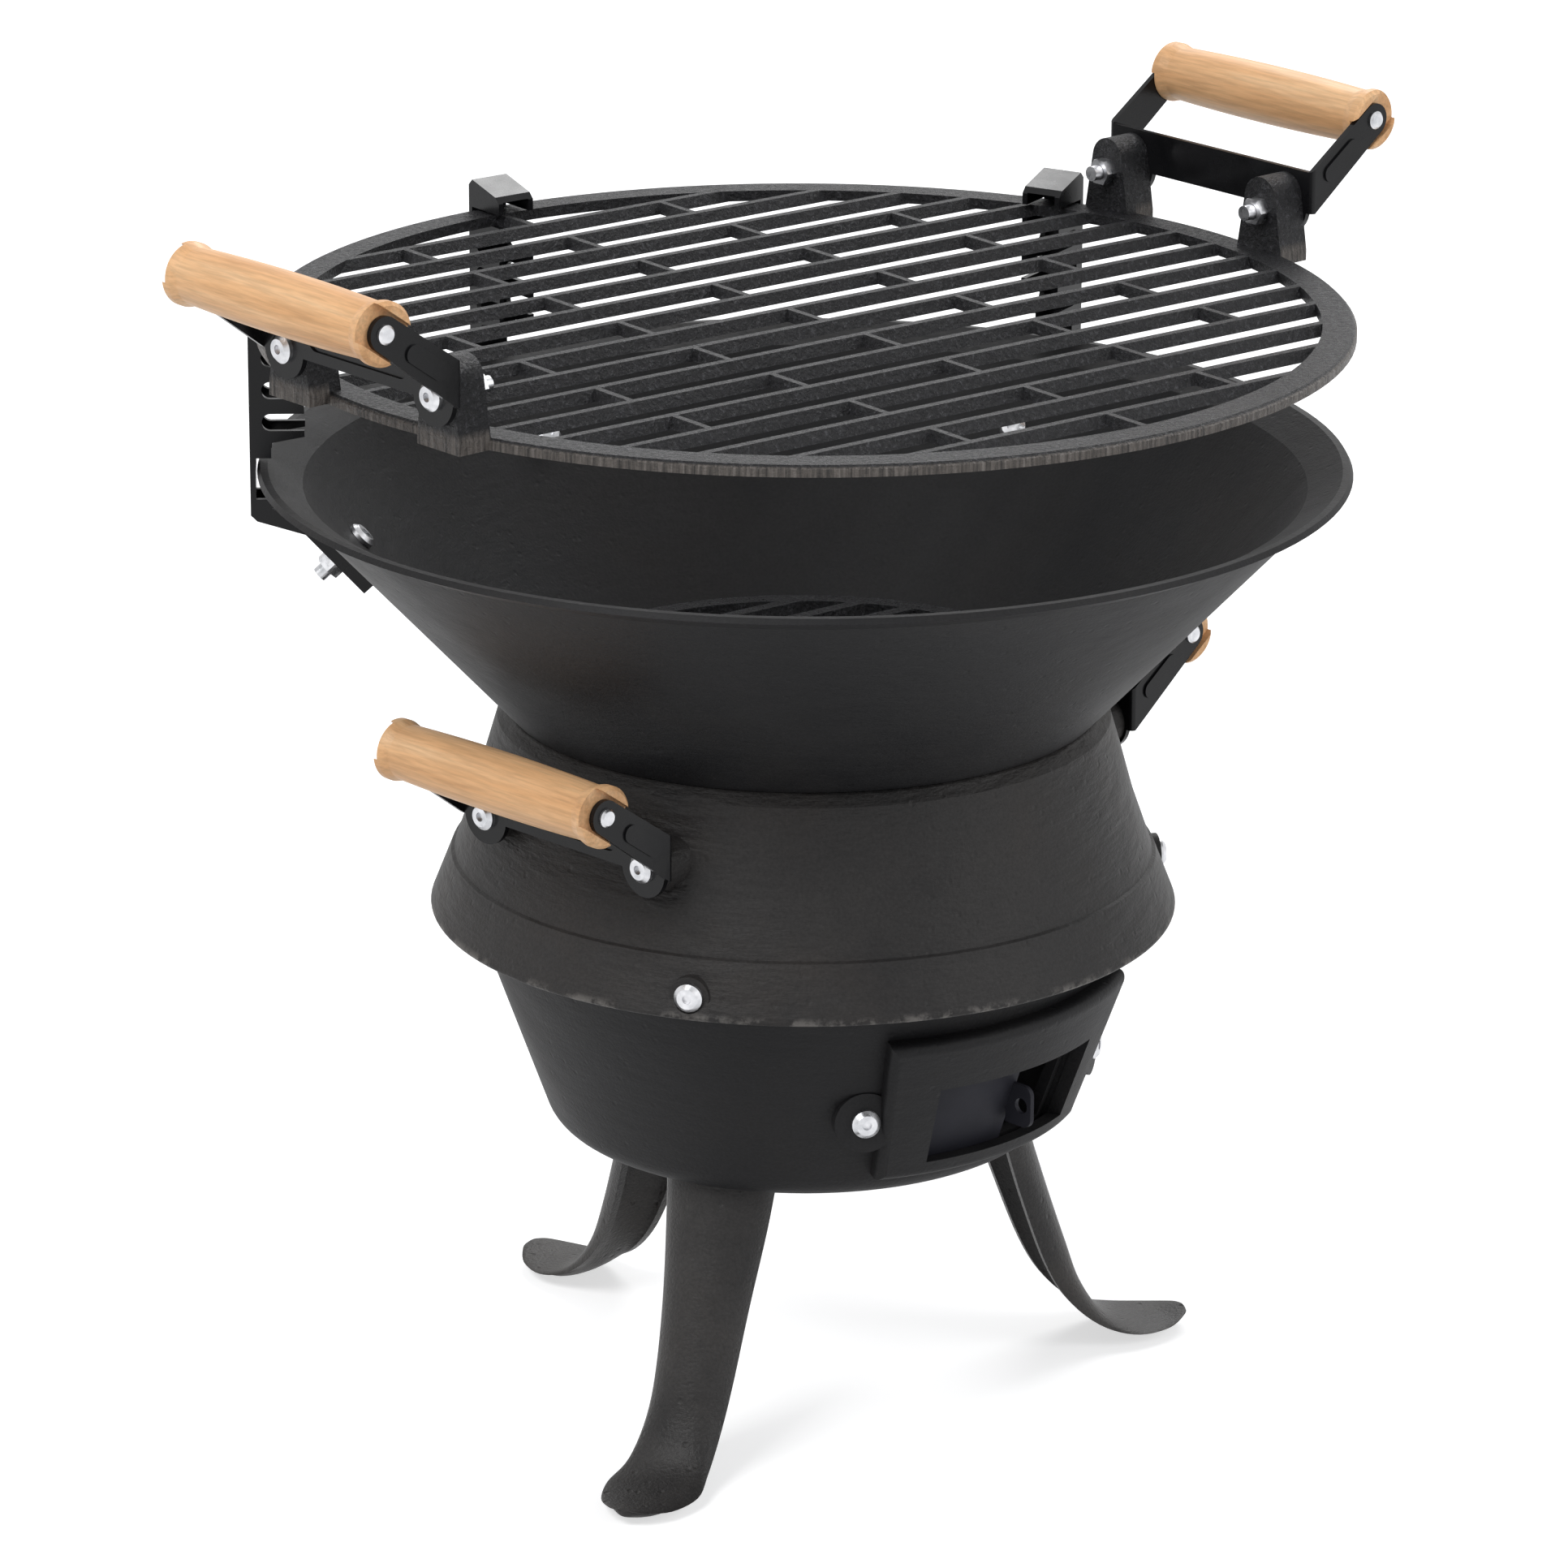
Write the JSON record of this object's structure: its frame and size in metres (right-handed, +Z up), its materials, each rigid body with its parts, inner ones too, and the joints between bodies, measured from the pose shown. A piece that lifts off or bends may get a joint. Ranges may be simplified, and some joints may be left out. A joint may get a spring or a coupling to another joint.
{
  "type": "barrel grill",
  "caption": "Small cast-iron charcoal barrel grill: footed ash pot with air vent, flared fire bowl and a height-adjustable round cooking grate with wood-grip handles.",
  "frame": {"origin": "on the ground under the vertical axis of the pot, barrel and bowl", "axes": "+Z up; +X to the right and -Y to the front as pictured, the air vent faces -Y and a little +X"},
  "size_m": [0.389, 0.3636, 0.4145],
  "materials": {
    "body_cast_iron": "matt black heat-proof coating on sand-cast iron",
    "grate_cast_iron": "coarse, sparkling sand-cast surface with ground outer edge",
    "black_enamelled_steel": "glossy black enamel on folded sheet steel",
    "zinc_fasteners": "bright zinc plate",
    "wood_grip": "turned beech, bare and lightly oiled"
  },
  "bodies": {
    "base": {"barrel_grip_front": "wood_grip", "barrel_grip_rear": "wood_grip", "barrel_grip_rivet_front": "zinc_fasteners", "barrel_grip_rivet_rear": "zinc_fasteners", "barrel_handle_bolts": "zinc_fasteners", "barrel_handle_bracket_front": "black_enamelled_steel", "barrel_handle_bracket_rear": "black_enamelled_steel", "barrel_handle_nuts": "zinc_fasteners", "leg_bolts": "zinc_fasteners", "leg_front": "body_cast_iron", "leg_left": "body_cast_iron", "leg_nuts": "zinc_fasteners", "leg_right": "body_cast_iron", "lip_screws": "zinc_fasteners", "lower_pot": "body_cast_iron", "upper_barrel": "body_cast_iron", "vent_frame": "body_cast_iron", "vent_frame_nuts": "zinc_fasteners", "vent_frame_screws": "zinc_fasteners"},
    "vent_slide_plate": {"vent_slider": "black_enamelled_steel"},
    "fire_bowl_set": {"fire_bowl": "body_cast_iron", "grate_bracket_left": "black_enamelled_steel", "grate_bracket_back_left": "black_enamelled_steel", "grate_bracket_back_right": "black_enamelled_steel", "bracket_bolts": "zinc_fasteners", "bracket_nuts": "zinc_fasteners"},
    "charcoal_grate_set": {"charcoal_grate": "grate_cast_iron"},
    "cooking_grate_set": {"cooking_grate": "grate_cast_iron", "grate_grip_left": "wood_grip", "grate_grip_right": "wood_grip", "grate_grip_rivet_left": "zinc_fasteners", "grate_grip_rivet_right": "zinc_fasteners", "grate_handle_bolts": "zinc_fasteners", "grate_handle_bracket_left": "black_enamelled_steel", "grate_handle_bracket_right": "black_enamelled_steel", "grate_handle_nuts": "zinc_fasteners"}
  },
  "joints": [
    {"name": "vent_slide", "type": "hinge", "parent": "base", "child": "vent_slide_plate", "pos_m": [0, 0, 0.123], "axis": [0, 0, 1], "range_deg": [0, 16.5]},
    {"name": "bowl_lift", "type": "slide", "parent": "base", "child": "fire_bowl_set", "axis": [0, 0, 1], "range_m": [0, 0.08]},
    {"name": "charcoal_grate_lift", "type": "slide", "parent": "fire_bowl_set", "child": "charcoal_grate_set", "axis": [0, 0, 1], "range_m": [0, 0.09]},
    {"name": "cooking_grate_pull", "type": "slide", "parent": "fire_bowl_set", "child": "cooking_grate_set", "axis": [0.5262, -0.8504, 0], "range_m": [0, 0.4]}
  ]
}
